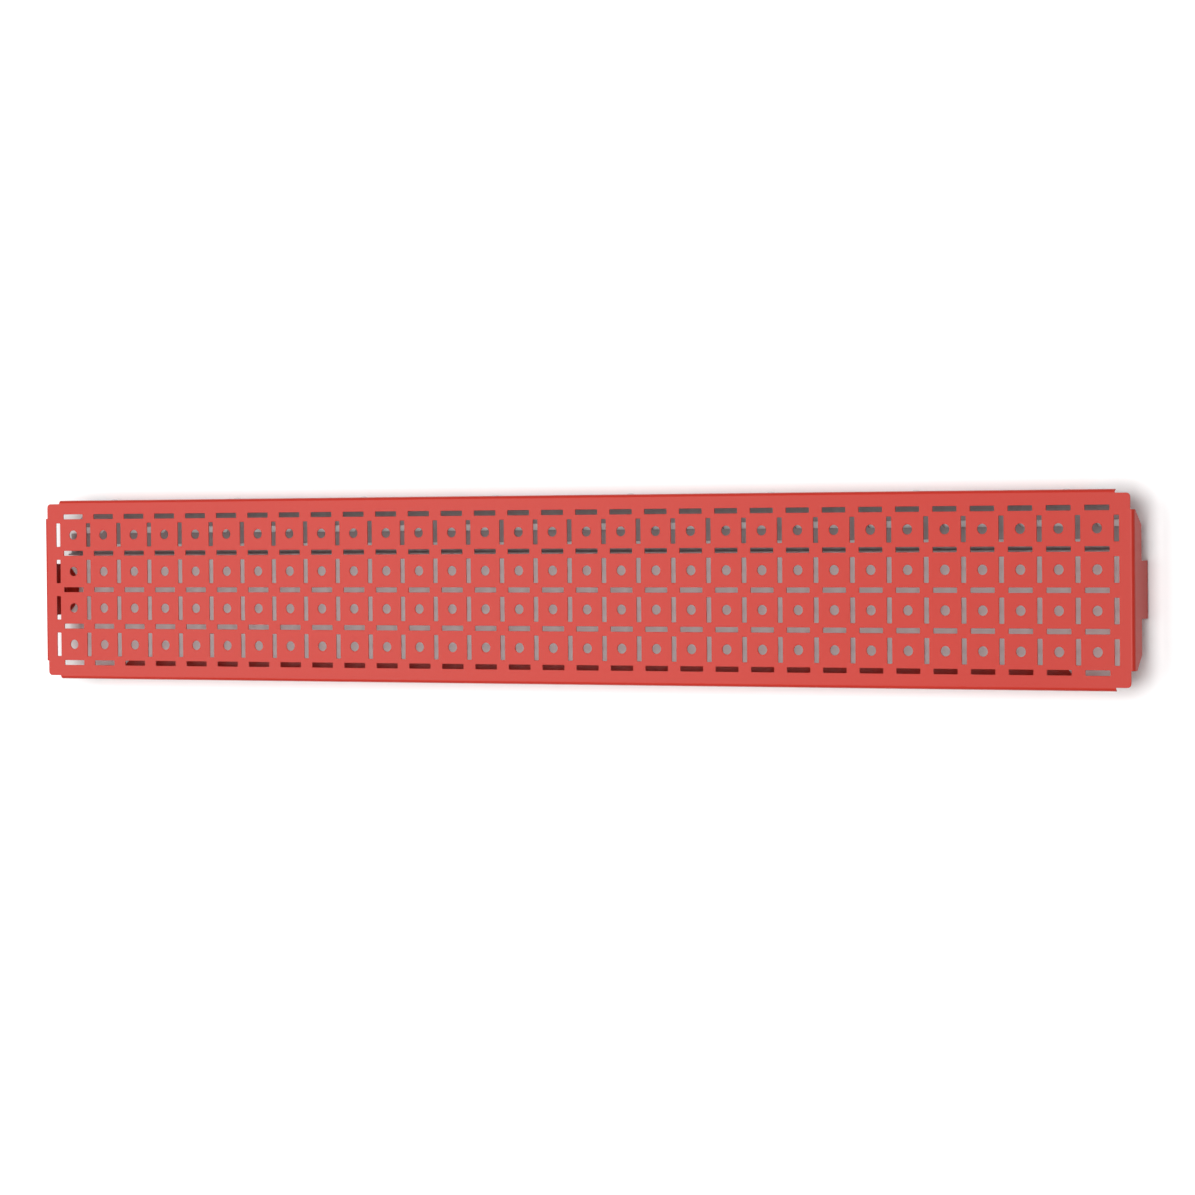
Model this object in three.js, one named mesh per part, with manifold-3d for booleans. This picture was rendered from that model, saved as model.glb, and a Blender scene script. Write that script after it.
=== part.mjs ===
// A steel scaffold plank: one perforated sheet folded down along all four sides, with a galvanised
// punched stiffener riveted inside its rear flange. Millimetres, +Z up, +X along the plank and +Y to
// its rear; the plank rests on z = 0. The folded sheet is kept as seven meshes, parted where its bends
// begin: the deck, two long flanges, their lips and two end flanges.
import * as THREE from "three";
import { mergeVertices } from "three/addons/utils/BufferGeometryUtils.js";
import Module from "manifold-3d";

// Driving dimensions
const PITCH = 49.1; // the square grid that every perforation sits on
const COLUMNS = 31;
const ROWS = 4;
const LENGTH = 1566; // outer faces of the end flanges
const WIDTH = 240; // outer faces of the long flanges
const DEPTH = 48; // deck surface to the undersides of the lips
const SHEET = 1.5;
const BEND = 4.5; // outer radius of every bend

// Perforations
const HOLE_DIAMETER = 12.5;
const HOLE_SIDES = 8;
const SLOT_LENGTH = 31.5;
const SLOT_WIDTH = 6.5;

// Deck corners and long flanges
const CORNER_RADIUS = 5;
const FLANGE_LENGTH = 1518; // shorter than the deck, so its corners are open
const FLANGE_FOOT_LENGTH = 1414; // its ends slant in towards the lip
const LIP_WIDTH = 27;
const LIP_END = 84; // end of the plank to the start of a lip

// End flanges: a shallow trapezium with a full-depth tab in its middle
const END_WIDTH = 191.5;
const END_SKIRT = 25; // depth of the trapezium
const END_SKIRT_WIDTH = 155.2; // its width at its lower edge
const REAR_CHAMFER_START = 5; // depth at which the rear corner's chamfer starts
const FRONT_CHAMFER_START = 9;
const TAB_WIDTH = 69.2;
const TAB_LIP = 22;
const TAB_LIP_END_WIDTH = 27.5;

// Stiffener: a channel on the rear lip with two staggered rows of windows
const STIFFENER_LENGTH = 1542;
const STIFFENER_WIDTH = 72;
const STIFFENER_CHAMFER = 38.5; // its rear corners are cut off at 45 degrees
const STIFFENER_SHEET = 1.5;
const REAR_LEG = 30;
const FRONT_LEG = 10;
const WINDOW_PITCH = 100;
const LONG_WINDOW = [75.5, 84]; // distances from the plank's centre line
const LONG_WINDOW_LENGTH = 71; // along its rear edge
const WINDOW_SLANT = 6; // how far a long window's slanted ends lean
const SHORT_WINDOW = [54, 61];
const SHORT_WINDOW_LENGTH = 40;

// Rivets
const RIVETS = 8;
const RIVET_SPACING = 4 * PITCH;
const RIVET_HEIGHT = 20;
const SHANK_RADIUS = 2.4;
const HEAD_RADIUS = 4.8;
const HEAD_CROWN_RADIUS = 2.9;
const HEAD_HEIGHT = 1.3;
const BULB_RADIUS = 3.6;
const BULB_END_RADIUS = 3.2;
const BULB_HEIGHT = 3.4;
const MANDREL_RADIUS = 1.2;
const MANDREL_BALL_RADIUS = 2.2;
const MANDREL_BALL_END_RADIUS = 1.5;
const MANDREL_BALL_HEIGHT = 1.8;
const CLEARANCE = 0.3;
const RIVET_SIDES = 8;

const ARC_STEPS = 4;
const OVERRUN = 1; // how far a cutting solid passes the face that it cuts

const wasm = await Module();
wasm.setup();

const redPaint = new THREE.MeshStandardMaterial({ color: 0xd8504a, roughness: 0.5, metalness: 0 });
const galvanised = new THREE.MeshStandardMaterial({ color: 0x9a9a9c, roughness: 0.45, metalness: 1 });
const rivetAlloy = new THREE.MeshStandardMaterial({ color: 0xb9babd, roughness: 0.35, metalness: 1 });
const mandrelSteel = new THREE.MeshStandardMaterial({ color: 0x77787b, roughness: 0.4, metalness: 1 });

// --- Solids ------------------------------------------------------------------------------------

function toSolid(geometry) {
  const bare = geometry.clone();
  bare.deleteAttribute("normal");
  bare.deleteAttribute("uv");
  const merged = mergeVertices(bare, 1e-4);
  return new wasm.Manifold(
    new wasm.Mesh({
      numProp: 3,
      vertProperties: new Float32Array(merged.attributes.position.array),
      triVerts: new Uint32Array(merged.index.array),
    }),
  );
}

function toGeometry(solid) {
  const result = solid.getMesh();
  const geometry = new THREE.BufferGeometry();
  geometry.setAttribute("position", new THREE.BufferAttribute(result.vertProperties, 3));
  geometry.setIndex(new THREE.BufferAttribute(result.triVerts, 1));
  const faceted = geometry.toNonIndexed();
  faceted.computeVertexNormals();
  return faceted;
}

function namedMesh(name, geometry, material) {
  const mesh = new THREE.Mesh(geometry, material);
  mesh.name = name;
  return mesh;
}

function polygon(points) {
  return new THREE.Shape(points.map(([x, y]) => new THREE.Vector2(x, y)));
}

// One shape or several, drawn in the plane across an axis and extruded along it from `from` to
// `to`. Across X a shape's own x and y are the plank's Y and Z, across Y they are X and Z, and
// across Z they are X and Y.
function extrudeAcross(axis, shapes, from, to) {
  const geometry = new THREE.ExtrudeGeometry(shapes, {
    depth: to - from,
    bevelEnabled: false,
    curveSegments: ARC_STEPS,
  });
  if (axis === "x") {
    geometry.rotateX(Math.PI / 2).rotateZ(Math.PI / 2).translate(from, 0, 0);
  } else if (axis === "y") {
    geometry.rotateX(Math.PI / 2).translate(0, to, 0);
  } else {
    geometry.translate(0, 0, from);
  }
  return geometry;
}

// The mirror image across the plane square to an axis, with each face turned round to point out.
function mirrored(geometry, axis) {
  const copy = geometry.clone();
  copy.scale(axis === "x" ? -1 : 1, axis === "y" ? -1 : 1, 1);
  const position = copy.getAttribute("position");
  const corner = new THREE.Vector3();
  const other = new THREE.Vector3();
  for (let i = 0; i < position.count; i += 3) {
    corner.fromBufferAttribute(position, i + 1);
    other.fromBufferAttribute(position, i + 2);
    position.setXYZ(i + 1, other.x, other.y, other.z);
    position.setXYZ(i + 2, corner.x, corner.y, corner.z);
  }
  copy.computeVertexNormals();
  return copy;
}

// --- The folded sheet --------------------------------------------------------------------------

function roundedRectangle(length, width, radius) {
  const x = length / 2;
  const y = width / 2;
  const shape = new THREE.Shape();
  shape.moveTo(-x + radius, -y);
  shape.lineTo(x - radius, -y);
  shape.absarc(x - radius, -y + radius, radius, -Math.PI / 2, 0, false);
  shape.lineTo(x, y - radius);
  shape.absarc(x - radius, y - radius, radius, 0, Math.PI / 2, false);
  shape.lineTo(-x + radius, y);
  shape.absarc(-x + radius, y - radius, radius, Math.PI / 2, Math.PI, false);
  shape.lineTo(-x, -y + radius);
  shape.absarc(-x + radius, -y + radius, radius, Math.PI, 1.5 * Math.PI, false);
  return shape;
}

function rectangle(x, y, length, width) {
  return polygon([
    [x - length / 2, y - width / 2],
    [x - length / 2, y + width / 2],
    [x + length / 2, y + width / 2],
    [x + length / 2, y - width / 2],
  ]);
}

function roundHole(x, y, radius, sides) {
  const points = [];
  for (let i = 0; i < sides; i += 1) {
    const angle = (-2 * Math.PI * (i + 0.5)) / sides;
    points.push([x + radius * Math.cos(angle), y + radius * Math.sin(angle)]);
  }
  return polygon(points);
}

// A round hole in the middle of each grid square, and a slot across the middle of each of its sides.
function perforations() {
  const columnX = (column) => (column - COLUMNS / 2) * PITCH;
  const rowY = (row) => (ROWS / 2 - row) * PITCH;
  const holes = [];
  for (let column = 0; column <= COLUMNS; column += 1) {
    for (let row = 0; row <= ROWS; row += 1) {
      if (column < COLUMNS && row < ROWS) {
        const radius = HOLE_DIAMETER / 2;
        holes.push(roundHole(columnX(column + 0.5), rowY(row + 0.5), radius, HOLE_SIDES));
      }
      if (column < COLUMNS) {
        holes.push(rectangle(columnX(column + 0.5), rowY(row), SLOT_LENGTH, SLOT_WIDTH));
      }
      if (row < ROWS) {
        holes.push(rectangle(columnX(column), rowY(row + 0.5), SLOT_WIDTH, SLOT_LENGTH));
      }
    }
  }
  return holes;
}

function deckGeometry() {
  const shape = roundedRectangle(LENGTH - 2 * BEND, WIDTH - 2 * BEND, CORNER_RADIUS);
  const sheet = toSolid(extrudeAcross("z", shape, DEPTH - SHEET, DEPTH));
  const punches = extrudeAcross("z", perforations(), DEPTH - SHEET - OVERRUN, DEPTH + OVERRUN);
  return toGeometry(sheet.subtract(toSolid(punches)));
}

// Section of a flange that bends down from the deck and in again at its foot, as far as `lipWidth`.
// x is the distance in from the flange's outer face, and y is the height.
function flangeSection(lipWidth) {
  const inner = BEND - SHEET;
  const shape = new THREE.Shape();
  shape.moveTo(BEND, DEPTH);
  shape.absarc(BEND, DEPTH - BEND, BEND, Math.PI / 2, Math.PI, false);
  shape.lineTo(0, BEND);
  shape.absarc(BEND, BEND, BEND, Math.PI, 1.5 * Math.PI, false);
  shape.lineTo(lipWidth, 0);
  shape.lineTo(lipWidth, SHEET);
  shape.lineTo(BEND, SHEET);
  shape.absarc(BEND, BEND, inner, 1.5 * Math.PI, Math.PI, true);
  shape.lineTo(SHEET, DEPTH - BEND);
  shape.absarc(BEND, DEPTH - BEND, inner, Math.PI, Math.PI / 2, true);
  return shape;
}

// The front flange, on the side of -Y. Its ends run back from the deck to where the lip ends.
function longFlangeSolid() {
  const half = FLANGE_LENGTH / 2;
  const section = extrudeAcross("x", flangeSection(BEND), -half, half);
  section.translate(0, -WIDTH / 2, 0);
  const slant = polygon([
    [half, DEPTH - BEND],
    [FLANGE_FOOT_LENGTH / 2, BEND],
    [LENGTH / 2 - LIP_END, 0],
    [LENGTH / 2 - LIP_END, -OVERRUN],
    [LENGTH / 2, -OVERRUN],
    [LENGTH / 2, DEPTH - BEND],
  ]);
  const cut = extrudeAcross("y", slant, -WIDTH / 2 - OVERRUN, -WIDTH / 2 + BEND + OVERRUN);
  return toSolid(section).subtract(toSolid(cut)).subtract(toSolid(mirrored(cut, "x")));
}

// The front flange's lip: the flat strip past its lower bend, with chamfered ends.
function lipGeometry() {
  const outer = -WIDTH / 2 + BEND;
  const inner = -WIDTH / 2 + LIP_WIDTH;
  const long = LENGTH / 2 - LIP_END;
  const short = long - (inner - outer);
  const shape = polygon([
    [-long, outer],
    [long, outer],
    [short, inner],
    [-short, inner],
  ]);
  return extrudeAcross("z", shape, 0, SHEET);
}

// Outline of an end flange seen from the plank's end, with its long tab.
function endOutline() {
  const foot = DEPTH - END_SKIRT;
  return polygon([
    [-TAB_WIDTH / 2, -OVERRUN],
    [TAB_WIDTH / 2, -OVERRUN],
    [TAB_WIDTH / 2, foot],
    [END_SKIRT_WIDTH / 2, foot],
    [END_WIDTH / 2, DEPTH - REAR_CHAMFER_START],
    [END_WIDTH / 2, DEPTH + OVERRUN],
    [-END_WIDTH / 2, DEPTH + OVERRUN],
    [-END_WIDTH / 2, DEPTH - FRONT_CHAMFER_START],
    [-END_SKIRT_WIDTH / 2, foot],
    [-TAB_WIDTH / 2, foot],
  ]);
}

function tabLipCut() {
  const start = -LENGTH / 2;
  const shape = polygon([
    [start + BEND, TAB_WIDTH / 2],
    [start + TAB_LIP, TAB_LIP_END_WIDTH / 2],
    [start + TAB_LIP + OVERRUN, TAB_LIP_END_WIDTH / 2],
    [start + TAB_LIP + OVERRUN, TAB_WIDTH / 2 + OVERRUN],
    [start + BEND, TAB_WIDTH / 2 + OVERRUN],
  ]);
  return extrudeAcross("z", shape, -OVERRUN, BEND);
}

// The left end flange, on the side of -X.
function endFlangeGeometry() {
  const section = extrudeAcross("y", flangeSection(TAB_LIP), -END_WIDTH / 2, END_WIDTH / 2);
  section.translate(-LENGTH / 2, 0, 0);
  const start = -LENGTH / 2;
  const outline = extrudeAcross("x", endOutline(), start - OVERRUN, start + TAB_LIP + OVERRUN);
  const cut = tabLipCut();
  const solid = toSolid(section)
    .intersect(toSolid(outline))
    .subtract(toSolid(cut))
    .subtract(toSolid(mirrored(cut, "y")));
  return toGeometry(solid);
}

// --- The stiffener -----------------------------------------------------------------------------

function stiffenerSection() {
  const rear = WIDTH / 2 - SHEET;
  const front = rear - STIFFENER_WIDTH;
  const foot = SHEET;
  const t = STIFFENER_SHEET;
  const inner = BEND - t;
  const shape = new THREE.Shape();
  shape.moveTo(rear, foot + REAR_LEG);
  shape.lineTo(rear - t, foot + REAR_LEG);
  shape.lineTo(rear - t, foot + BEND);
  shape.absarc(rear - BEND, foot + BEND, inner, 0, -Math.PI / 2, true);
  shape.lineTo(front + BEND, foot + t);
  shape.absarc(front + BEND, foot + BEND, inner, 1.5 * Math.PI, Math.PI, true);
  shape.lineTo(front + t, foot + FRONT_LEG);
  shape.lineTo(front, foot + FRONT_LEG);
  shape.lineTo(front, foot + BEND);
  shape.absarc(front + BEND, foot + BEND, BEND, Math.PI, 1.5 * Math.PI, false);
  shape.lineTo(rear - BEND, foot);
  shape.absarc(rear - BEND, foot + BEND, BEND, -Math.PI / 2, 0, false);
  return shape;
}

// A window with slanted ends, wider at its rear edge.
function longWindow(x) {
  const [front, rear] = LONG_WINDOW;
  const half = LONG_WINDOW_LENGTH / 2;
  return polygon([
    [x - half + WINDOW_SLANT, front],
    [x + half - WINDOW_SLANT, front],
    [x + half, rear],
    [x - half, rear],
  ]);
}

// The two rows are half a pitch apart. The last long window at each end is open.
function stiffenerWindows() {
  const shapes = [];
  const [front, rear] = SHORT_WINDOW;
  const last = Math.floor(STIFFENER_LENGTH / 2 / WINDOW_PITCH);
  for (let i = -last - 1; i <= last; i += 1) {
    shapes.push(longWindow((i + 0.5) * WINDOW_PITCH));
    if (i >= -last) {
      const middle = (front + rear) / 2;
      shapes.push(rectangle(i * WINDOW_PITCH, middle, SHORT_WINDOW_LENGTH, rear - front));
    }
  }
  return shapes;
}

// What the chamfer cuts away at the right end.
function stiffenerEndCut() {
  const rear = WIDTH / 2 - SHEET;
  const end = STIFFENER_LENGTH / 2;
  const shape = polygon([
    [end + OVERRUN, rear - STIFFENER_CHAMFER - OVERRUN],
    [end + OVERRUN, rear + OVERRUN],
    [end - STIFFENER_CHAMFER - OVERRUN, rear + OVERRUN],
  ]);
  return extrudeAcross("z", shape, 0, SHEET + REAR_LEG + OVERRUN);
}

function rivetPositions() {
  return Array.from({ length: RIVETS }, (_, i) => (i - (RIVETS - 1) / 2) * RIVET_SPACING);
}

// A pin along Y through the rear flange and the stiffener's leg at each rivet.
function rivetHoles() {
  const radius = SHANK_RADIUS + CLEARANCE;
  return rivetPositions().map((x) => {
    const shape = roundHole(x, RIVET_HEIGHT, radius, RIVET_SIDES);
    const depth = SHEET + STIFFENER_SHEET + OVERRUN;
    return toSolid(extrudeAcross("y", shape, WIDTH / 2 - depth, WIDTH / 2 + OVERRUN));
  });
}

function stiffenerGeometry(holes) {
  const half = STIFFENER_LENGTH / 2;
  const top = SHEET + STIFFENER_SHEET + OVERRUN;
  const punches = toSolid(extrudeAcross("z", stiffenerWindows(), SHEET - OVERRUN, top));
  const endCut = stiffenerEndCut();
  let solid = toSolid(extrudeAcross("x", stiffenerSection(), -half, half));
  for (const cut of [punches, toSolid(endCut), toSolid(mirrored(endCut, "x")), ...holes]) {
    solid = solid.subtract(cut);
  }
  return toGeometry(solid);
}

// --- Rivets ------------------------------------------------------------------------------------

// Turned about its own axis with the head's underside at 0 and the blind end upwards.
function rivetBodyGeometry() {
  const grip = SHEET + STIFFENER_SHEET;
  const bore = MANDREL_RADIUS + CLEARANCE;
  const profile = [
    [bore, -HEAD_HEIGHT],
    [HEAD_CROWN_RADIUS, -HEAD_HEIGHT],
    [HEAD_RADIUS, 0],
    [SHANK_RADIUS, 0],
    [SHANK_RADIUS, grip],
    [BULB_RADIUS, grip + BULB_HEIGHT / 3],
    [BULB_END_RADIUS, grip + BULB_HEIGHT],
    [bore, grip + BULB_HEIGHT],
    [bore, -HEAD_HEIGHT],
  ].map(([r, y]) => new THREE.Vector2(r, y));
  return toGeometry(toSolid(new THREE.LatheGeometry(profile, RIVET_SIDES, Math.PI / RIVET_SIDES)));
}

function mandrelGeometry() {
  const ball = SHEET + STIFFENER_SHEET + BULB_HEIGHT + CLEARANCE;
  const profile = [
    [0, -HEAD_HEIGHT / 2],
    [MANDREL_RADIUS, -HEAD_HEIGHT / 2],
    [MANDREL_RADIUS, ball],
    [MANDREL_BALL_RADIUS, ball],
    [MANDREL_BALL_END_RADIUS, ball + MANDREL_BALL_HEIGHT],
    [0, ball + MANDREL_BALL_HEIGHT],
  ].map(([r, y]) => new THREE.Vector2(r, y));
  return toGeometry(toSolid(new THREE.LatheGeometry(profile, RIVET_SIDES, Math.PI / RIVET_SIDES)));
}

function rivet(number, x) {
  const group = new THREE.Group();
  group.add(namedMesh(`rivet_body_${number}`, rivetBodyGeometry(), rivetAlloy));
  group.add(namedMesh(`rivet_mandrel_${number}`, mandrelGeometry(), mandrelSteel));
  group.rotation.x = Math.PI; // the blind end points to the front
  group.position.set(x, WIDTH / 2, RIVET_HEIGHT);
  return group;
}

// --- The plank ---------------------------------------------------------------------------------

const plank = new THREE.Group();
plank.name = "scaffold_plank";
plank.position.y = -HEAD_HEIGHT / 2; // the rivet heads stand out at the rear only

const holes = rivetHoles();
const flange = longFlangeSolid();
let rearFlange = toSolid(mirrored(toGeometry(flange), "y"));
for (const hole of holes) rearFlange = rearFlange.subtract(hole);
const lip = lipGeometry();
const endFlange = endFlangeGeometry();

plank.add(namedMesh("deck", deckGeometry(), redPaint));
plank.add(namedMesh("front_flange", toGeometry(flange), redPaint));
plank.add(namedMesh("front_lip", lip, redPaint));
plank.add(namedMesh("rear_flange", toGeometry(rearFlange), redPaint));
plank.add(namedMesh("rear_lip", mirrored(lip, "y"), redPaint));
plank.add(namedMesh("left_end_flange", endFlange, redPaint));
plank.add(namedMesh("right_end_flange", mirrored(endFlange, "x"), redPaint));
plank.add(namedMesh("rear_stiffener", stiffenerGeometry(holes), galvanised));
rivetPositions().forEach((x, i) => plank.add(rivet(i + 1, x)));

export default plank;
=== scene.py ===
"""A steel scaffold plank: one punched and folded sheet, a zinc-coated stiffener and a row of rivets.

Every sheet piece is made as a maker makes it. Its outline and its punched holes are laid out flat,
Geometry Nodes repeat the holes and fill the sheet between them, and the flat blank is then folded.
"""

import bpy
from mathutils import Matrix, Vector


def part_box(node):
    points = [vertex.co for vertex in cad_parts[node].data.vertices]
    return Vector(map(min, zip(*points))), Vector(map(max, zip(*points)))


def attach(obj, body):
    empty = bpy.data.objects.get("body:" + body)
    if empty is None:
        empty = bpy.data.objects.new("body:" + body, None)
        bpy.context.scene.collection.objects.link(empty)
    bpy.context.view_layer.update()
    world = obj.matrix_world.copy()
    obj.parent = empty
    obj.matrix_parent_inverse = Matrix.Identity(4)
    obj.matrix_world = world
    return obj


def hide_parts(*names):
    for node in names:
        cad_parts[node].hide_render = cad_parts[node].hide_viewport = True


bl_info = {
    "name": "Scaffold Plank",
    "version": (1, 0, 0),
    "blender": (4, 5, 0),
    "location": "View3D > Sidebar > Plank",
    "description": "Builds a perforated, folded steel scaffold plank around its CAD frame",
    "category": "Add Mesh",
}

import math

import bmesh
import bpy
from mathutils import Matrix, Vector

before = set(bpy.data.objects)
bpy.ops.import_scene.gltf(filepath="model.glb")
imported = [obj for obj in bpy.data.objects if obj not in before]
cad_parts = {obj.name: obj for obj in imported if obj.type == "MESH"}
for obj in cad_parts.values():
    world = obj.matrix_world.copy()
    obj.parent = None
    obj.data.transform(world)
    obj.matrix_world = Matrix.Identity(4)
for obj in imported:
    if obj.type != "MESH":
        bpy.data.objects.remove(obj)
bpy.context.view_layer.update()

MM = 0.001
BODY = "root"

# Sizes that the frame holds. A deck is flat between its bends, and a flange's box starts at its bend.
DECK_LOW, DECK_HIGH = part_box("deck")
FRONT_LOW, FRONT_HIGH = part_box("front_flange")
LIP_LOW, LIP_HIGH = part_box("front_lip")
END_LOW, END_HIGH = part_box("right_end_flange")
STIFFENER_LOW, STIFFENER_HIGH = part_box("rear_stiffener")
HEAD_LOW, HEAD_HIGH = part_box("rivet_body_1")
REAR_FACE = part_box("rear_flange")[1].y
SHEET = DECK_HIGH.z - DECK_LOW.z
BEND = DECK_LOW.y - FRONT_LOW.y
MIDDLE_Y = (DECK_LOW.y + DECK_HIGH.y) / 2
RIVET_BODIES = sorted(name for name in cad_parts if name.startswith("rivet_body"))
RIVET_MANDRELS = sorted(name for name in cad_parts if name.startswith("rivet_mandrel"))

BEND_STEPS = 8
EDGE_ROUNDING = 0.35 * MM  # paint and the press leave no edge sharp
IN_LINE = 0.9999  # cosine above which two edges count as one straight line
FLAT = 0.999  # upright part of the normal above which a face counts as flat
MITRE_LIMIT = 0.3  # keeps the mitre of a very sharp corner short
WELD = 0.002 * MM
ARC = BEND * math.pi / 2  # length of a bend on its outer face, where the blank is measured


# --- Settings ------------------------------------------------------------------------------------


def length_property(name, description, default):
    return bpy.props.FloatProperty(
        name=name, description=description, default=default, min=0.0, unit="LENGTH", precision=4
    )


def colour_property(name, description, default):
    return bpy.props.FloatVectorProperty(
        name=name, description=description, default=default, size=3, min=0.0, max=1.0, subtype="COLOR"
    )


def count_property(name, description, default):
    return bpy.props.IntProperty(name=name, description=description, default=default, min=1)


class SheetSettings(bpy.types.PropertyGroup):
    """The punched and folded sheet."""

    pitch: length_property("Pitch", "Side of the square grid of perforations", 49.1 * MM)
    columns: count_property("Columns", "Round holes along the plank", 31)
    rows: count_property("Rows", "Round holes across the plank", 4)
    hole_diameter: length_property("Hole Diameter", "Diameter of a round hole", 12.5 * MM)
    slot_length: length_property("Slot Length", "Length of a slot", 31.5 * MM)
    slot_width: length_property("Slot Width", "Width of a slot", 6.5 * MM)
    corner_radius: length_property("Corner Radius", "Radius of the deck's open corners", 5 * MM)
    lip_end: length_property("Lip End", "End of the plank to the start of a lip", 84 * MM)
    skirt_depth: length_property("Skirt Depth", "Depth of an end flange beside its tab", 25 * MM)
    skirt_foot: length_property("Skirt Foot", "Width of an end flange at its foot", 155.2 * MM)
    tab_width: length_property("Tab Width", "Width of an end flange's tab", 69.2 * MM)
    tab_tip: length_property("Tab Tip", "Width of the tab's lip at its edge", 27.5 * MM)
    rear_chamfer: length_property("Rear Chamfer", "Depth where the rear chamfer starts", 5 * MM)
    front_chamfer: length_property("Front Chamfer", "Depth where the front chamfer starts", 9 * MM)
    paint: colour_property("Paint", "Colour of the powder coat", (0.43, 0.027, 0.016))


class StiffenerSettings(bpy.types.PropertyGroup):
    """The punched channel on the rear lip."""

    chamfer: length_property("Chamfer", "Cut off each rear corner at 45 degrees", 38.5 * MM)
    front_leg: length_property("Front Leg", "Height of the front leg", 10 * MM)
    pitch: length_property("Pitch", "Distance between two windows in a row", 100 * MM)
    long_front: length_property("Long Window Front", "Centre line to a long window", 75.5 * MM)
    long_rear: length_property("Long Window Rear", "Centre line to its far edge", 84 * MM)
    long_length: length_property("Long Window Length", "Length of its far edge", 71 * MM)
    slant: length_property("Slant", "Lean of a long window's ends", 6 * MM)
    short_front: length_property("Short Window Front", "Centre line to a short window", 54 * MM)
    short_rear: length_property("Short Window Rear", "Centre line to its far edge", 61 * MM)
    short_length: length_property("Short Window Length", "Length of a short window", 40 * MM)
    zinc: colour_property("Zinc", "Colour of the zinc coat", (0.37, 0.335, 0.338))


class RivetSettings(bpy.types.PropertyGroup):
    """The blind rivets that hold the stiffener."""

    spacing: length_property("Spacing", "Distance between two rivets", 196.4 * MM)
    height: length_property("Height", "Height of the rivets above the lip's underside", 20 * MM)
    shank: length_property("Shank", "Radius of a rivet's shank", 2.4 * MM)
    clearance: length_property("Clearance", "Gap round a shank or a mandrel", 0.3 * MM)
    mandrel: length_property("Mandrel", "Radius of a mandrel", 1.2 * MM)
    alloy: colour_property("Alloy", "Colour of the rivets", (0.66, 0.66, 0.67))


class StageSettings(bpy.types.PropertyGroup):
    """The floor, the lights and the camera."""

    eye: bpy.props.FloatVectorProperty(
        name="Eye", description="Where the camera stands", default=(2.6106, 0.1001, 4.7952),
        subtype="TRANSLATION", unit="LENGTH",
    )
    aim: bpy.props.FloatVectorProperty(
        name="Aim", description="Camera's rotation", subtype="EULER",
        default=(math.radians(-1.462), math.radians(28.195), math.radians(-0.614)),
    )
    lens: bpy.props.FloatProperty(
        name="Lens", description="Focal length", default=128.9, min=1.0, unit="CAMERA"
    )
    floor: colour_property("Floor", "Colour of the floor", (0.94, 0.94, 0.94))


# --- Node trees ----------------------------------------------------------------------------------


class Number:
    """A number socket in a graph. Arithmetic on it adds Math nodes."""

    def __init__(self, graph, socket):
        self.graph = graph
        self.socket = socket

    def maths(self, operation, *values):
        node = self.graph.add("ShaderNodeMath", {"operation": operation}, dict(enumerate(values)))
        return Number(self.graph, node.outputs[0])

    def __add__(self, other):
        return self.maths("ADD", self, other)

    def __radd__(self, other):
        return self.maths("ADD", other, self)

    def __sub__(self, other):
        return self.maths("SUBTRACT", self, other)

    def __rsub__(self, other):
        return self.maths("SUBTRACT", other, self)

    def __mul__(self, other):
        return self.maths("MULTIPLY", self, other)

    def __rmul__(self, other):
        return self.maths("MULTIPLY", other, self)

    def __truediv__(self, other):
        return self.maths("DIVIDE", self, other)

    def __mod__(self, other):
        return self.maths("MODULO", self, other)


class Graph:
    """A node tree that is filled one node at a time."""

    def __init__(self, tree):
        self.tree = tree

    def plug(self, socket, value):
        if isinstance(value, Number):
            value = value.socket
        if isinstance(value, bpy.types.NodeSocket):
            self.tree.links.new(value, socket)
        else:
            socket.default_value = value

    def add(self, kind, settings=None, sockets=None):
        node = self.tree.nodes.new(kind)
        for name, value in (settings or {}).items():
            setattr(node, name, value)
        for key, value in (sockets or {}).items():
            if isinstance(value, (list, tuple)) and value and isinstance(value[0], bpy.types.NodeSocket):
                for link in value:
                    self.tree.links.new(link, node.inputs[key])
            else:
                self.plug(node.inputs[key], value)
        return node

    def number(self, socket):
        return Number(self, socket)

    def xyz(self, x, y, z):
        return self.add("ShaderNodeCombineXYZ", {}, {0: x, 1: y, 2: z}).outputs[0]


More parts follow.
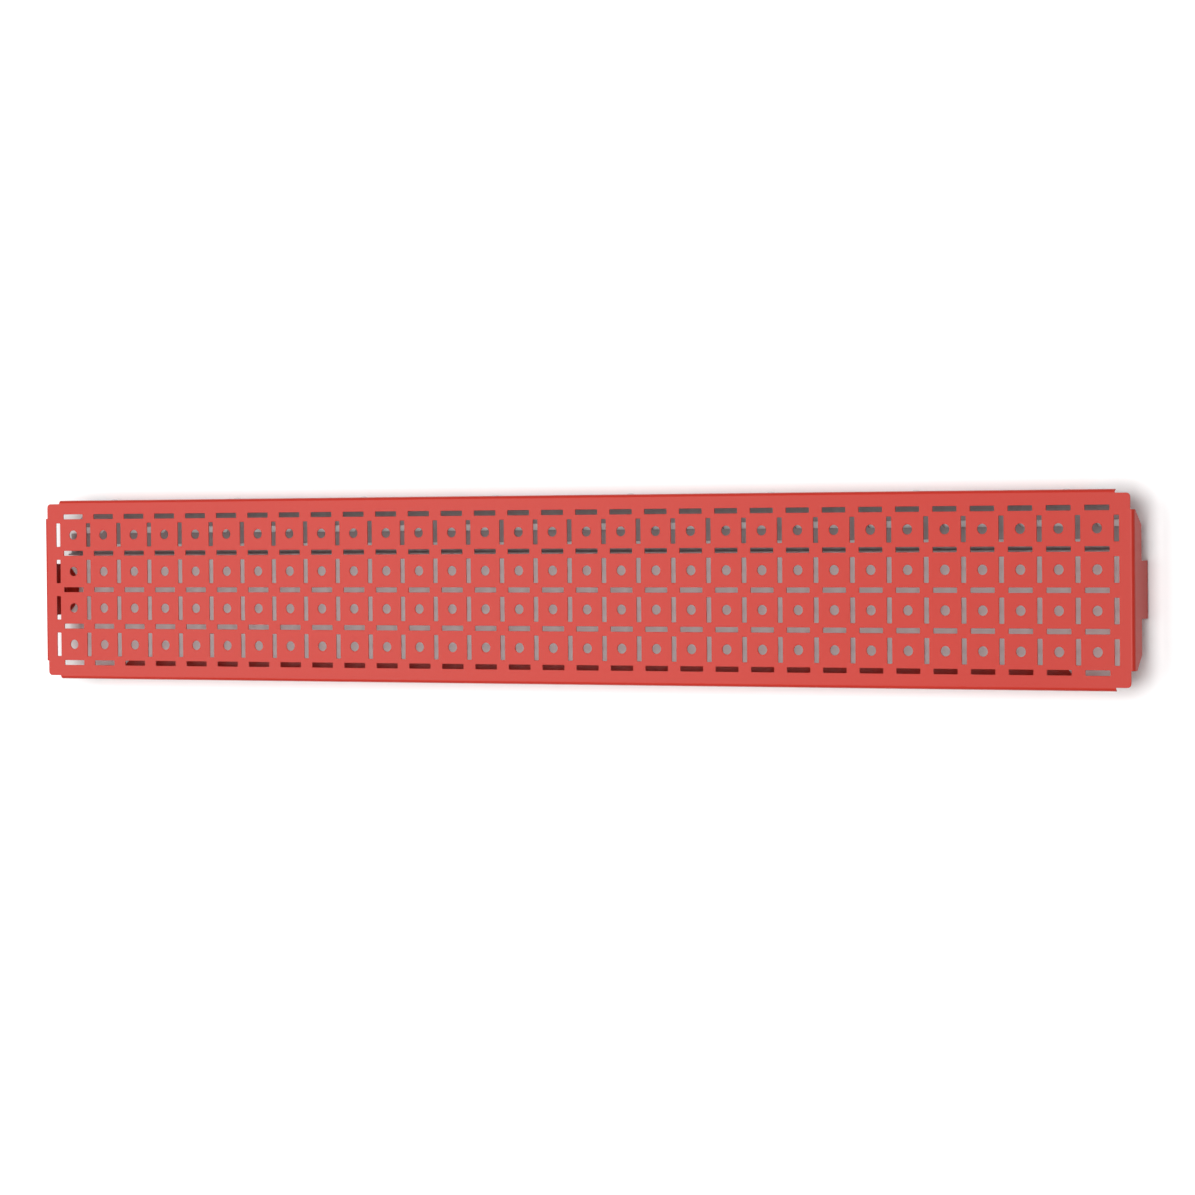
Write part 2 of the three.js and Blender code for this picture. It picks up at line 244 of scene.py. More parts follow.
class GeometryGraph(Graph):
    """A Geometry Nodes tree with named inputs."""

    def __init__(self, name, inputs):
        tree = bpy.data.node_groups.new(name, "GeometryNodeTree")
        super().__init__(tree)
        tree.interface.new_socket("Geometry", in_out="INPUT", socket_type="NodeSocketGeometry")
        for label, kind in inputs.items():
            tree.interface.new_socket(label, in_out="INPUT", socket_type="NodeSocket" + kind)
        tree.interface.new_socket("Geometry", in_out="OUTPUT", socket_type="NodeSocketGeometry")
        self.inputs = self.add("NodeGroupInput").outputs

    def value(self, label):
        return self.number(self.inputs[label])

    def instanced(self, label, count, place, turn=(0, 0, 0)):
        """The object in the named input, set on `count` points whose places come from their index."""
        shape = self.add("GeometryNodeObjectInfo", {}, {"Object": self.inputs[label]})
        points = self.add("GeometryNodePoints", {}, {"Count": count, "Position": place})
        placed = self.add(
            "GeometryNodeInstanceOnPoints",
            {},
            {
                "Points": points.outputs[0],
                "Instance": shape.outputs["Geometry"],
                "Rotation": turn,
            },
        )
        return placed.outputs[0]

    def grid(self, label, columns, rows, pitch, turn=(0, 0, 0)):
        """The object in the named input, on a grid centred on the origin."""
        index = self.number(self.add("GeometryNodeInputIndex").outputs[0])
        column = index % columns
        row = (index - column) / columns
        place = self.xyz((column - (columns - 1) * 0.5) * pitch, (row - (rows - 1) * 0.5) * pitch, 0)
        return self.instanced(label, columns * rows, place, turn)

    def line(self, label, count, pitch, y, z=0):
        """The object in the named input, on a line along X with its middle at X = 0."""
        index = self.number(self.add("GeometryNodeInputIndex").outputs[0])
        return self.instanced(label, count, self.xyz((index - (count - 1) * 0.5) * pitch, y, z))

    def rivet_holes(self):
        count, spacing, y = (self.value(label) for label in ("Rivets", "Rivet Spacing", "Rivet Line"))
        return self.line("Rivet Punch", count, spacing, y)

    def joined(self, parts):
        whole = self.add("GeometryNodeJoinGeometry", {}, {0: parts})
        return self.add("GeometryNodeRealizeInstances", {}, {0: whole.outputs[0]}).outputs[0]

    def sheet_face(self, rims, thickness, is_top):
        """A flat face that fills the sheet between the rims' edges on one side."""
        one_face = self.add(
            "FunctionNodeCompare",
            {"data_type": "INT", "operation": "EQUAL"},
            {2: self.add("GeometryNodeInputMeshEdgeNeighbors").outputs[0], 3: 1},
        )
        height = self.add(
            "ShaderNodeSeparateXYZ", {}, {0: self.add("GeometryNodeInputPosition").outputs[0]}
        )
        this_side = self.add(
            "FunctionNodeCompare",
            {"data_type": "FLOAT", "operation": "GREATER_THAN" if is_top else "LESS_THAN"},
            {0: height.outputs[2], 1: thickness * -0.5},
        )
        edges = self.add(
            "FunctionNodeBooleanMath", {}, {0: one_face.outputs[0], 1: this_side.outputs[0]}
        )
        loops = self.add("GeometryNodeMeshToCurve", {}, {"Mesh": rims, "Selection": edges.outputs[0]})
        face = self.add("GeometryNodeFillCurve", {"mode": "TRIANGLES"}, {"Curve": loops.outputs[0]})
        if is_top:
            return face.outputs[0]
        turned = self.add("GeometryNodeFlipFaces", {}, {0: face.outputs[0]})
        lowered = self.add(
            "GeometryNodeTransform",
            {},
            {"Geometry": turned.outputs[0], "Translation": self.xyz(0, 0, thickness * -1)},
        )
        return lowered.outputs[0]

    def finish(self, geometry):
        painted = self.add("GeometryNodeSetMaterial", {}, {0: geometry, "Material": self.inputs["Finish"]})
        self.add("NodeGroupOutput", {}, {0: painted.outputs[0]})
        return self.tree

    def finish_sheet(self, rims, thickness):
        """Fills the sheet between its rims, welds it shut and gives it its finish."""
        whole = self.joined([rims] + [self.sheet_face(rims, thickness, top) for top in (True, False)])
        welded = self.add("GeometryNodeMergeByDistance", {}, {"Geometry": whole, "Distance": WELD})
        return self.finish(welded.outputs[0])


def made_by_nodes(name, mesh, tree, values, tools=()):
    """Runs a tree on a mesh and returns the result as a plain object at the origin."""
    holder = bpy.data.objects.new(name + "_source", mesh)
    bpy.context.collection.objects.link(holder)
    modifier = holder.modifiers.new(tree.name, "NODES")
    modifier.node_group = tree
    for item in tree.interface.items_tree:
        if item.in_out == "INPUT" and item.name in values:
            modifier[item.identifier] = values[item.name]
    evaluated = holder.evaluated_get(bpy.context.evaluated_depsgraph_get())
    result = bpy.data.meshes.new_from_object(evaluated)
    result.name = name
    for used in (holder, *tools):
        bpy.data.objects.remove(used)
    piece = bpy.data.objects.new(name, result)
    bpy.context.collection.objects.link(piece)
    return piece


# --- Outlines and rims ---------------------------------------------------------------------------


def rounded(corners, steps=4):
    """A closed outline from corners given as (x, y, radius), each turned into an arc."""
    points = []
    for i, (x, y, radius) in enumerate(corners):
        here = Vector((x, y))
        to_last = (Vector(corners[i - 1][:2]) - here).normalized()
        to_next = (Vector(corners[(i + 1) % len(corners)][:2]) - here).normalized()
        if radius == 0 or abs(to_last.dot(to_next)) > IN_LINE:
            points.append(here)
            continue
        half = to_last.angle(to_next) / 2
        middle = here + (to_last + to_next).normalized() * radius / math.sin(half)
        start, stop = (here + way * radius / math.tan(half) - middle for way in (to_last, to_next))
        turn = math.copysign(math.pi - 2 * half, start.cross(stop))
        points += [middle + Matrix.Rotation(turn * i / steps, 2) @ start for i in range(steps + 1)]
    return points


def moved_left(points, distance):
    """A closed outline moved to the left of its own direction, with its corners mitred."""
    moved = []
    for i, here in enumerate(points):
        before = (here - points[i - 1]).normalized()
        after = (points[(i + 1) % len(points)] - here).normalized()
        side = Vector((-before.y - after.y, before.x + after.x)).normalized()
        moved.append(here + side * distance / max(MITRE_LIMIT, side.dot(Vector((-before.y, before.x)))))
    return moved


def rim_profile(thickness, edge):
    """The rounded edge of a sheet as (distance in from its outline, depth below its upper face)."""
    eased = edge * (1 - math.sqrt(0.5))
    upper = [(edge, 0), (eased, eased), (0, edge)]
    return upper + [(inset, thickness - depth) for inset, depth in reversed(upper)]


def rim_mesh(name, outline, thickness):
    """The edge wall round an outline that has the sheet on its left, from z = 0 down."""
    shell = bmesh.new()
    wear = shell.verts.layers.float.new("edge")
    rings = []
    profile = rim_profile(thickness, EDGE_ROUNDING)
    for inset, depth in profile:
        ring = [shell.verts.new((p.x, p.y, -depth)) for p in moved_left(outline, inset)]
        for vertex in ring:
            vertex[wear] = 0.0 if inset == EDGE_ROUNDING else 1.0
        rings.append(ring)
    for upper, lower in zip(rings, rings[1:]):
        for i, corner in enumerate(upper):
            j = (i + 1) % len(upper)
            shell.faces.new((corner, lower[i], lower[j], upper[j])).smooth = True
    mesh = bpy.data.meshes.new(name)
    shell.to_mesh(mesh)
    shell.free()
    return mesh


def tool(name, outline, thickness):
    """A punch: the rim that it leaves round its hole, for a tree to repeat."""
    piece = bpy.data.objects.new(name, rim_mesh(name, outline, thickness))
    bpy.context.collection.objects.link(piece)
    return piece


def circle_hole(radius, steps=32):
    """A clockwise circle, so that the sheet is on its left."""
    angles = [-2 * math.pi * i / steps for i in range(steps)]
    return [Vector((radius * math.cos(a), radius * math.sin(a))) for a in angles]


def rivet_punch(rivets):
    return tool("rivet_punch", circle_hole(rivets.shank + rivets.clearance, 16), SHEET)


def box_hole(low, high, radius):
    corners = [(low[0], low[1]), (low[0], high[1]), (high[0], high[1]), (high[0], low[1])]
    return rounded([(x, y, radius) for x, y in corners])


# --- Folding -------------------------------------------------------------------------------------


class Fold:
    """Bends a flat blank down over the edges of its flat middle, and in again at the foot.

    The blank's upper face is z = 0. `half` is half the length and width of the middle, and `drop` is
    the height over the folds, or None where the flanges end without a second bend. A length of None
    leaves the ends flat.
    """

    def __init__(self, half_length, half_width, drop):
        self.half = (half_length, half_width)
        self.drop = drop

    def lines(self):
        """Distances beyond the middle at which the blank is creased."""
        steps = [ARC * i / BEND_STEPS for i in range(BEND_STEPS + 1)]
        if self.drop is None:
            return steps
        wall = self.drop - 2 * BEND
        return steps + [ARC + wall + step for step in steps]

    def crease(self, shell):
        """Cuts the flat blank along every crease."""
        for axis, half in enumerate(self.half):
            if half is None:
                continue
            for side in (-1, 1):
                for line in self.lines():
                    place = (half + line) * side
                    if not any((v.co[axis] - place) * side > WELD for v in shell.verts):
                        break
                    near = [f for f in shell.faces if self.straddles(f, axis, place)]
                    edges = (edge for face in near for edge in face.edges)
                    corners = (corner for face in near for corner in face.verts)
                    normal = Vector((0, 0, 0))
                    normal[axis] = side
                    point = normal * (half + line)
                    bmesh.ops.bisect_plane(
                        shell,
                        geom=list({*near, *edges, *corners}),
                        dist=WELD / 4,
                        plane_co=point,
                        plane_no=normal,
                    )

    def straddles(self, face, axis, place):
        places = [v.co[axis] for v in face.verts]
        return min(places) < place < max(places)

    def bent(self, point):
        """The folded place of a point, and the turn that its surface has made."""
        depth = -point.z
        for axis, half in enumerate(self.half):
            if half is None or abs(point[axis]) <= half:
                continue
            side = math.copysign(1, point[axis])
            beyond = abs(point[axis]) - half
            out, down, angle = self.section(beyond, depth)
            place = Vector((point.x, point.y, -down))
            place[axis] = side * (half + out)
            # A turn about +Y sends +X down, and a turn about +X sends +Y up.
            signed, about = (angle * side, "Y") if axis == 0 else (-angle * side, "X")
            return place, Matrix.Rotation(signed, 3, about)
        return point.copy(), Matrix.Identity(3)

    def section(self, beyond, depth):
        """How far out and down a point lies, and the angle that its surface has turned."""
        radius = BEND - depth
        if beyond < ARC:
            angle = beyond / BEND
            return radius * math.sin(angle), BEND - radius * math.cos(angle), angle
        down = BEND + beyond - ARC
        if self.drop is None or down < self.drop - BEND:
            return radius, down, math.pi / 2
        angle = (down - (self.drop - BEND)) / BEND
        if angle < math.pi / 2:
            return (
                radius * math.cos(angle),
                self.drop - BEND + radius * math.sin(angle),
                angle + math.pi / 2,
            )
        return -(down - (self.drop - BEND) - ARC), self.drop - depth, math.pi

    def apply(self, mesh):
        """Creases and folds a flat mesh, and turns its normals with it."""
        shell = bmesh.new()
        shell.from_mesh(mesh)
        self.crease(shell)
        for face in shell.faces:
            face.smooth = abs(face.normal.z) < FLAT
        shell.to_mesh(mesh)
        shell.free()
        flat_normals = [normal.vector.copy() for normal in mesh.corner_normals]
        folds = [self.bent(vertex.co) for vertex in mesh.vertices]
        turned = [folds[loop.vertex_index][1] @ flat_normals[loop.index] for loop in mesh.loops]
        for vertex, (place, turn) in zip(mesh.vertices, folds):
            vertex.co = place
        mesh.polygons.foreach_set("use_smooth", [True] * len(mesh.polygons))
        mesh.normals_split_custom_set(turned)
        mesh.update()


# --- Finishes ------------------------------------------------------------------------------------


def new_material(name):
    material = bpy.data.materials.new(name)
    material.use_nodes = True
    material.node_tree.nodes.clear()
    return material, Graph(material.node_tree)


def surface(graph, sockets):
    shader = graph.add("ShaderNodeBsdfPrincipled", {}, sockets)
    graph.add("ShaderNodeOutputMaterial", {}, {"Surface": shader.outputs[0]})


def noise(graph, scale, detail=2.0, stretch=(1, 1, 1)):
    """Noise on the piece's own coordinates, with `scale` features to the metre."""
    place = graph.add("ShaderNodeTexCoord").outputs["Object"]
    mapped = graph.add("ShaderNodeMapping", {}, {"Vector": place, "Scale": stretch})
    node = graph.add(
        "ShaderNodeTexNoise", {}, {"Vector": mapped.outputs[0], "Scale": scale, "Detail": detail}
    )
    return graph.number(node.outputs[0])


def mixed(graph, factor, first, second):
    node = graph.add(
        "ShaderNodeMix", {"data_type": "RGBA"}, {0: factor, 6: first, 7: second}
    )
    return node.outputs[2]


def shade(colour, factor):
    return (*(min(1.0, c * factor) for c in colour), 1.0)


def powder_coat(colour):
    """Satin powder coat: orange peel, slight cloudiness, and a thinner film on punched edges."""
    material, graph = new_material("red_powder_coat")
    cloud = noise(graph, 3.0, 3.0)
    fleck = noise(graph, 900.0, 1.0)
    body = mixed(graph, cloud, shade(colour, 0.95), shade(colour, 1.05))
    speckled = mixed(graph, (fleck - 0.5) * 0.5 + 0.3, body, shade(colour, 1.12))
    edge = graph.number(graph.add("ShaderNodeAttribute", {"attribute_name": "edge"}).outputs["Fac"])
    thin = (*(min(1.0, c * 0.9 + 0.06) for c in colour), 1.0)
    final = mixed(graph, edge * noise(graph, 60.0), speckled, thin)
    peel = noise(graph, 420.0, 2.0)
    ripple = noise(graph, 90.0, 1.0)
    bump = graph.add(
        "ShaderNodeBump", {}, {"Height": peel + ripple * 0.6, "Distance": 0.04 * MM, "Strength": 0.6}
    )
    surface(
        graph,
        {
            "Base Color": final,
            "Roughness": 0.25 + cloud * 0.08,
            "Normal": bump.outputs[0],
            "Specular IOR Level": 0.23,
        },
    )
    return material


def zinc_coat(colour):
    """Hot-dip zinc: a faint spangle, rolling lines along the strip and dull patches."""
    material, graph = new_material("galvanised_steel")
    place = graph.add("ShaderNodeTexCoord").outputs["Object"]
    spangle = graph.add("ShaderNodeTexVoronoi", {}, {"Vector": place, "Scale": 130.0})
    grain = graph.number(graph.add("ShaderNodeSeparateColor", {}, {0: spangle.outputs["Color"]}).outputs[0])
    rolled = noise(graph, 260.0, 3.0, (0.03, 1, 1))
    dull = noise(graph, 9.0, 4.0)
    tone = grain * 0.45 + rolled * 0.3 + dull * 0.25
    body = mixed(graph, tone, shade(colour, 0.78), shade(colour, 1.22))
    bump = graph.add(
        "ShaderNodeBump", {}, {"Height": rolled + grain * 0.3, "Distance": 0.02 * MM, "Strength": 0.5}
    )
    surface(
        graph,
        {
            "Base Color": body,
            "Metallic": 0.6,
            "Roughness": 0.46 + grain * 0.14 + dull * 0.12,
            "Normal": bump.outputs[0],
        },
    )
    return material


def turned_metal(name, colour, roughness):
    """Drawn rivet wire: fine rings from forming, and small handling marks."""
    material, graph = new_material(name)
    rings = noise(graph, 900.0, 2.0, (0.2, 1, 0.2))
    marks = noise(graph, 300.0, 3.0)
    body = mixed(graph, marks, shade(colour, 0.85), shade(colour, 1.1))
    bump = graph.add("ShaderNodeBump", {}, {"Height": rings, "Distance": 0.01 * MM, "Strength": 0.5})
    surface(
        graph,
        {
            "Base Color": body,
            "Metallic": 1.0,
            "Roughness": roughness + marks * 0.15,
            "Normal": bump.outputs[0],
        },
    )
    return material


# --- The folded sheet ----------------------------------------------------------------------------


def end_corners(sheet):
    """Corners of the blank's right end, from its front lip round to its rear lip."""
    half_length = (DECK_HIGH.x - DECK_LOW.x) / 2
    half_width = (DECK_HIGH.y - DECK_LOW.y) / 2
    flange = (FRONT_HIGH.x - FRONT_LOW.x) / 2
    foot = ARC + (DECK_HIGH.z - FRONT_LOW.z) - 2 * BEND
    lip = LIP_HIGH.y - LIP_LOW.y
    lip_start = END_HIGH.x - sheet.lip_end
    edge = half_width + foot
    sharp, soft = 1 * MM, 2 * MM
    front_side = [
        (lip_start - lip, edge + ARC + lip, soft),
        (lip_start, edge + ARC, sharp),
        (flange, half_width + ARC, soft),
        (flange, half_width, sharp),
        (half_length, half_width, sheet.corner_radius),
    ]
    skirt = half_length + ARC + sheet.skirt_depth - BEND
    tab_lip = half_length + foot + ARC
    reach = END_HIGH.x - END_LOW.x - BEND
    half_end = (END_HIGH.y - END_LOW.y) / 2

    def end_side(chamfer):
        start = half_length + ARC + chamfer - BEND
        return [
            (half_length, half_end, sharp / 2),
            (start, half_end, sharp / 2),
            (skirt, sheet.skirt_foot / 2, 3 * MM),
            (skirt, sheet.tab_width / 2, soft),
            (tab_lip, sheet.tab_width / 2, soft),
            (tab_lip + reach, sheet.tab_tip / 2, soft),
        ]

    front = front_side + end_side(sheet.front_chamfer)
    rear = front_side + end_side(sheet.rear_chamfer)
    return [(x, -y, r) for x, y, r in front] + [(x, y, r) for x, y, r in reversed(rear)]


def sheet_outline(sheet):
    right = end_corners(sheet)
    left = [(-x, y, r) for x, y, r in reversed(right)]
    return rounded(right + left)


def punched_sheet_tree():
    graph = GeometryGraph(
        "punched_sheet",
        {
            "Round Punch": "Object",
            "Slot Punch": "Object",
            "Rivet Punch": "Object",
            "Columns": "Int",
            "Rows": "Int",
            "Pitch": "Float",
            "Thickness": "Float",
            "Rivets": "Int",
            "Rivet Spacing": "Float",
            "Rivet Line": "Float",
            "Finish": "Material",
        },
    )
    columns, rows, pitch = (graph.value(label) for label in ("Columns", "Rows", "Pitch"))
    quarter_turn = (0, 0, math.pi / 2)
    rims = graph.joined(
        [
            graph.inputs["Geometry"],
            graph.grid("Round Punch", columns, rows, pitch),
            graph.grid("Slot Punch", columns, rows + 1, pitch),
            graph.grid("Slot Punch", columns + 1, rows, pitch, quarter_turn),
            graph.rivet_holes(),
        ]
    )
    return graph.finish_sheet(rims, graph.value("Thickness"))


class PLANK_OT_folded_sheet(bpy.types.Operator):
    """Punch the blank of the deck, its flanges and its lips, and fold it"""

    bl_idname = "plank.folded_sheet"
    bl_label = "Folded Sheet"

    def execute(self, context):
        sheet = context.scene.plank_sheet
        rivets = context.scene.plank_rivets
        half_length = (DECK_HIGH.x - DECK_LOW.x) / 2
        half_width = (DECK_HIGH.y - DECK_LOW.y) / 2
        slot = Vector((sheet.slot_length, sheet.slot_width)) / 2
        tools = {
            "Round Punch": tool("round_punch", circle_hole(sheet.hole_diameter / 2), SHEET),
            "Slot Punch": tool("slot_punch", box_hole(-slot, slot, 1 * MM), SHEET),
            "Rivet Punch": rivet_punch(rivets),
        }
        values = {
            **tools,
            "Columns": sheet.columns,
            "Rows": sheet.rows,
            "Pitch": sheet.pitch,
            "Thickness": SHEET,
            "Rivets": len(RIVET_BODIES),
            "Rivet Spacing": rivets.spacing,
            "Rivet Line": half_width + ARC + DECK_HIGH.z - BEND - rivets.height,
            "Finish": powder_coat(sheet.paint),
        }
        blank = rim_mesh("blank", sheet_outline(sheet), SHEET)
        piece = made_by_nodes("folded_sheet", blank, punched_sheet_tree(), values, tools.values())
        Fold(half_length, half_width, DECK_HIGH.z - FRONT_LOW.z).apply(piece.data)
        piece.data.transform(Matrix.Translation((0, MIDDLE_Y, DECK_HIGH.z)))
        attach(piece, BODY)
        long_sides = ("front_flange", "front_lip", "rear_flange", "rear_lip")
        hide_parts("deck", *long_sides, "left_end_flange", "right_end_flange")
        return {"FINISHED"}


# --- The stiffener -------------------------------------------------------------------------------


def punched_channel_tree():
    graph = GeometryGraph(
        "punched_channel",
        {
            "Long Punch": "Object",
            "Short Punch": "Object",
            "Rivet Punch": "Object",
            "Windows": "Int",
            "Window Pitch": "Float",
            "Thickness": "Float",
            "Rivets": "Int",
            "Rivet Spacing": "Float",
            "Rivet Line": "Float",
            "Finish": "Material",
        },
    )
    windows, pitch = graph.value("Windows"), graph.value("Window Pitch")
    rims = graph.joined(
        [
            graph.inputs["Geometry"],
            graph.line("Long Punch", windows - 1, pitch, 0),
            graph.line("Short Punch", windows, pitch, 0),
            graph.rivet_holes(),
        ]
    )
    return graph.finish_sheet(rims, graph.value("Thickness"))


class PLANK_OT_stiffener(bpy.types.Operator):
    """Punch and fold the zinc-coated channel that lies on the rear lip"""

    bl_idname = "plank.stiffener"
    bl_label = "Stiffener"

    def execute(self, context):
        stiffener = context.scene.plank_stiffener
        rivets = context.scene.plank_rivets
        middle_y = (STIFFENER_LOW.y + STIFFENER_HIGH.y) / 2
        centre = middle_y - MIDDLE_Y
        half_width = (STIFFENER_HIGH.y - STIFFENER_LOW.y) / 2 - BEND
        front_end = STIFFENER_HIGH.x
        rear_end = front_end - stiffener.chamfer
        rear_edge = half_width + ARC + (STIFFENER_HIGH.z - STIFFENER_LOW.z) - BEND
        front_edge = half_width + ARC + stiffener.front_leg - BEND

        # The blank is drawn with its outer face up and its rear side at -Y, then turned over.
        near, far = centre - stiffener.long_front, centre - stiffener.long_rear
        half_long = stiffener.long_length / 2
        windows = 2 * math.floor(front_end / stiffener.pitch) + 1
        last = (windows * stiffener.pitch) / 2 - half_long
        ends = [
            (rear_end, -rear_edge, 2 * MM),
            (rear_end, -half_width - ARC, 0),
            (rear_end + BEND, -half_width, 0),
            (rear_end + BEND + half_width + far, far, 1 * MM),
            (last, far, 1.5 * MM),
            (last + stiffener.slant, near, 1.5 * MM),
            (front_end, near, 1 * MM),
            (front_end, front_edge, 2 * MM),
        ]
        outline = rounded(ends + [(-x, y, r) for x, y, r in reversed(ends)])
        corners = [(-half_long, far), (stiffener.slant - half_long, near)]
        corners += [(-x, y) for x, y in reversed(corners)]
        long_window = rounded([(x, y, 1.5 * MM) for x, y in corners])
        short = stiffener.short_length / 2
        low = (-short, centre - stiffener.short_rear)
        high = (short, centre - stiffener.short_front)
        tools = {
            "Long Punch": tool("long_punch", long_window, SHEET),
            "Short Punch": tool("short_punch", box_hole(low, high, 1 * MM), SHEET),
            "Rivet Punch": rivet_punch(rivets),
        }
        values = {
            **tools,
            "Windows": windows,
            "Window Pitch": stiffener.pitch,
            "Thickness": SHEET,
            "Rivets": len(RIVET_BODIES),
            "Rivet Spacing": rivets.spacing,
            "Rivet Line": -(half_width + ARC + rivets.height - STIFFENER_LOW.z - BEND),
            "Finish": zinc_coat(stiffener.zinc),
        }
        blank = rim_mesh("channel_blank", outline, SHEET)
        piece = made_by_nodes("stiffener", blank, punched_channel_tree(), values, tools.values())
        Fold(None, half_width, None).apply(piece.data)
        turned_over = Matrix.Rotation(math.pi, 4, "X")
        piece.data.transform(Matrix.Translation((0, middle_y, STIFFENER_LOW.z)) @ turned_over)
        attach(piece, BODY)
        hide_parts("rear_stiffener")
        return {"FINISHED"}


# --- Rivets --------------------------------------------------------------------------------------


def turned_mesh(name, profile, steps=32):
    """A solid turned about Y from (radius, y) points, closed where the radius is 0."""
    shell = bmesh.new()
    verts = [shell.verts.new((radius, y, 0)) for radius, y in profile]
    edges = [shell.edges.new(pair) for pair in zip(verts, verts[1:])]
    bmesh.ops.spin(
        shell, geom=[*verts, *edges], axis=(0, 1, 0), cent=(0, 0, 0), angle=2 * math.pi, steps=steps
    )
    bmesh.ops.remove_doubles(shell, verts=shell.verts, dist=WELD)
    bmesh.ops.recalc_face_normals(shell, faces=shell.faces)
    for face in shell.faces:
        face.smooth = True
    mesh = bpy.data.meshes.new(name)
    shell.to_mesh(mesh)
    shell.free()
    mesh.set_sharp_from_angle(angle=math.radians(40))
    return mesh


def rivet_row_tree(name):
    graph = GeometryGraph(
        name,
        {
            "Rivet": "Object",
            "Rivets": "Int",
            "Spacing": "Float",
            "Face": "Float",
            "Height": "Float",
            "Finish": "Material",
        },
    )
    row = graph.line(
        "Rivet", graph.value("Rivets"), graph.value("Spacing"), graph.value("Face"), graph.value("Height")
    )
    return graph.finish(graph.joined([row]))


def rivet_row(name, mesh, material, rivets):
    rivet = bpy.data.objects.new(name + "_shape", mesh)
    bpy.context.collection.objects.link(rivet)
    values = {
        "Rivet": rivet,
        "Rivets": len(RIVET_BODIES),
        "Spacing": rivets.spacing,
        "Face": REAR_FACE,
        "Height": rivets.height,
        "Finish": material,
    }
    return made_by_nodes(name, bpy.data.meshes.new(name), rivet_row_tree(name), values, [rivet])


class PLANK_OT_rivets(bpy.types.Operator):
    """Set the blind rivets and their mandrels through the rear flange"""

    bl_idname = "plank.rivets"
    bl_label = "Rivets"

    def execute(self, context):
        rivets = context.scene.plank_rivets
        head_radius = (HEAD_HIGH.z - HEAD_LOW.z) / 2
        head = HEAD_HIGH.y - REAR_FACE
        grip = 2 * SHEET
        blind = REAR_FACE - HEAD_LOW.y
        bore = rivets.mandrel + rivets.clearance
        bulb = 1.5 * rivets.shank
        dome = [
            (head_radius * math.cos(a), 0.25 * head + 0.75 * head * math.sin(a))
            for a in (math.radians(step) for step in range(0, 75, 12))
        ]
        swell = [
            (rivets.shank + (bulb - rivets.shank) * math.sin(a), -grip - (blind - grip) * part)
            for part, a in ((i / 8, math.pi * (0.15 + 0.7 * i / 8)) for i in range(9))
        ]
        mouth = (bore, head * 0.55)
        body = [mouth, (bore + 0.2 * MM, head * 0.98), *reversed(dome), (head_radius, 0)]
        body += [(rivets.shank, 0), (rivets.shank, -grip), *swell, (bore, -blind), mouth]
        # The mandrel runs from its broken face inside the head to the ball behind the bulb.
        ball = blind + rivets.clearance
        ball_radius = 1.83 * rivets.mandrel
        tip = -ball - 1.8 * MM
        broken = [(0, head * 0.35), (rivets.mandrel * 0.5, head * 0.55), (rivets.mandrel, head * 0.4)]
        collar = [(rivets.mandrel, -ball), (ball_radius, -ball), (ball_radius, -ball - 0.7 * MM)]
        nose = [(ball_radius * 0.75, -ball - 1.5 * MM), (ball_radius * 0.35, tip), (0, tip)]
        pin = broken + collar + nose
        alloy = turned_metal("rivet_alloy", rivets.alloy, 0.3)
        steel = turned_metal("mandrel_steel", tuple(c * 0.6 for c in rivets.alloy), 0.4)
        bodies = rivet_row("rivet_bodies", turned_mesh("rivet_body", body), alloy, rivets)
        mandrels = rivet_row("rivet_mandrels", turned_mesh("rivet_mandrel", pin), steel, rivets)
        for piece, slot, nodes in (
            (bodies, "rivet_alloy", RIVET_BODIES),
            (mandrels, "mandrel_steel", RIVET_MANDRELS),
        ):
            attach(piece, BODY)
            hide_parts(*nodes)
        return {"FINISHED"}


# --- The stage -----------------------------------------------------------------------------------


# Each softbox as its name, place, aim, size in metres and power in watts.
SOFTBOXES = (
    ("overhead", (0.7, 0.0, 3.8), (0.3, 0, 0), (3.6, 2.6), 150),
    ("left_fill", (-2.4, 0.0, 3.4), (-0.5, 0, 0), (3.6, 2.6), 105),
)
ROOM_LIGHT = 0.15
FLOOR_REACH = 30.0


def softbox(name, place, aim, size, power):
    light = bpy.data.lights.new(name, "AREA")
    light.shape = "RECTANGLE"
    light.size, light.size_y = size
    light.energy = power
    lamp = bpy.data.objects.new(name, light)
    lamp.location = place
    lamp.rotation_euler = (Vector(aim) - Vector(place)).to_track_quat("-Z", "Y").to_euler()
    lamp.visible_camera = False
    bpy.context.collection.objects.link(lamp)


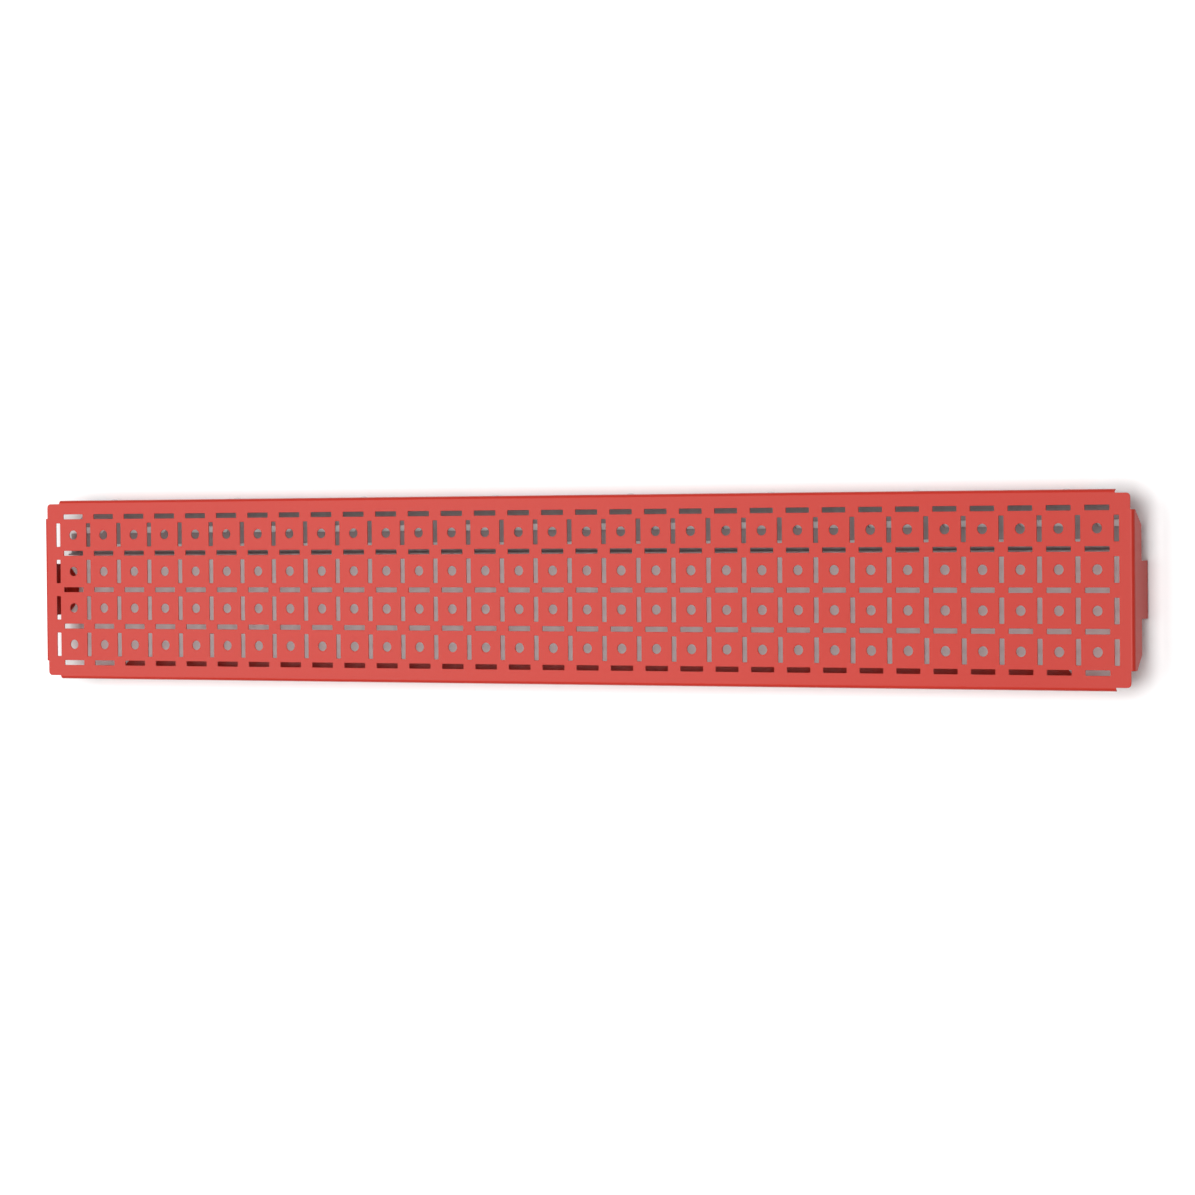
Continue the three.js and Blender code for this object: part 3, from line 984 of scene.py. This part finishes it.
class PLANK_OT_stage(bpy.types.Operator):
    """Lay the floor and set the lights and the camera"""

    bl_idname = "plank.stage"
    bl_label = "Stage"

    def execute(self, context):
        scene = context.scene
        stage = scene.plank_stage
        mesh = bpy.data.meshes.new("floor")
        corners = [(x * FLOOR_REACH, y * FLOOR_REACH, 0) for x, y in ((-1, -1), (1, -1), (1, 1), (-1, 1))]
        mesh.from_pydata(corners, [], [(0, 1, 2, 3)])
        material, graph = new_material("floor_paper")
        tone = noise(graph, 0.7)
        surface(
            graph,
            {
                "Base Color": mixed(graph, tone, shade(stage.floor, 0.99), shade(stage.floor, 1.01)),
                "Roughness": 0.9,
                "Specular IOR Level": 0.1,
            },
        )
        mesh.materials.append(material)
        floor = bpy.data.objects.new("floor", mesh)
        context.collection.objects.link(floor)

        world = bpy.data.worlds.new("studio")
        world.use_nodes = True
        room = world.node_tree.nodes["Background"].inputs
        room["Color"].default_value = (1, 1, 1, 1)
        room["Strength"].default_value = ROOM_LIGHT
        scene.world = world
        for box in SOFTBOXES:
            softbox(*box)
        scene.view_settings.view_transform = "Standard"

        camera = bpy.data.cameras.new("camera")
        camera.lens = stage.lens
        camera.sensor_width = 36.0
        camera.clip_end = 100.0
        camera.dof.use_dof = False
        eye = bpy.data.objects.new("camera", camera)
        eye.location = stage.eye
        eye.rotation_euler = stage.aim
        context.collection.objects.link(eye)
        scene.camera = eye
        return {"FINISHED"}


# --- Add-on --------------------------------------------------------------------------------------


OPERATORS = (PLANK_OT_folded_sheet, PLANK_OT_stiffener, PLANK_OT_rivets, PLANK_OT_stage)
SETTINGS = {
    "plank_sheet": SheetSettings,
    "plank_stiffener": StiffenerSettings,
    "plank_rivets": RivetSettings,
    "plank_stage": StageSettings,
}


class PLANK_PT_sidebar(bpy.types.Panel):
    """Sizes, colours and the steps that build the plank"""

    bl_label = "Scaffold Plank"
    bl_idname = "PLANK_PT_sidebar"
    bl_space_type = "VIEW_3D"
    bl_region_type = "UI"
    bl_category = "Plank"

    def draw(self, context):
        for (attribute, group), operator in zip(SETTINGS.items(), OPERATORS):
            box = self.layout.box()
            for name in group.__annotations__:
                box.prop(getattr(context.scene, attribute), name)
            box.operator(operator.bl_idname)


CLASSES = (*SETTINGS.values(), *OPERATORS, PLANK_PT_sidebar)


def register():
    for cls in CLASSES:
        bpy.utils.register_class(cls)
    for attribute, group in SETTINGS.items():
        setattr(bpy.types.Scene, attribute, bpy.props.PointerProperty(type=group))


def unregister():
    for attribute in SETTINGS:
        delattr(bpy.types.Scene, attribute)
    for cls in reversed(CLASSES):
        bpy.utils.unregister_class(cls)


def main():
    register()
    bpy.ops.plank.folded_sheet()
    bpy.ops.plank.stiffener()
    bpy.ops.plank.rivets()
    bpy.ops.plank.stage()


if __name__ == "__main__":
    main()
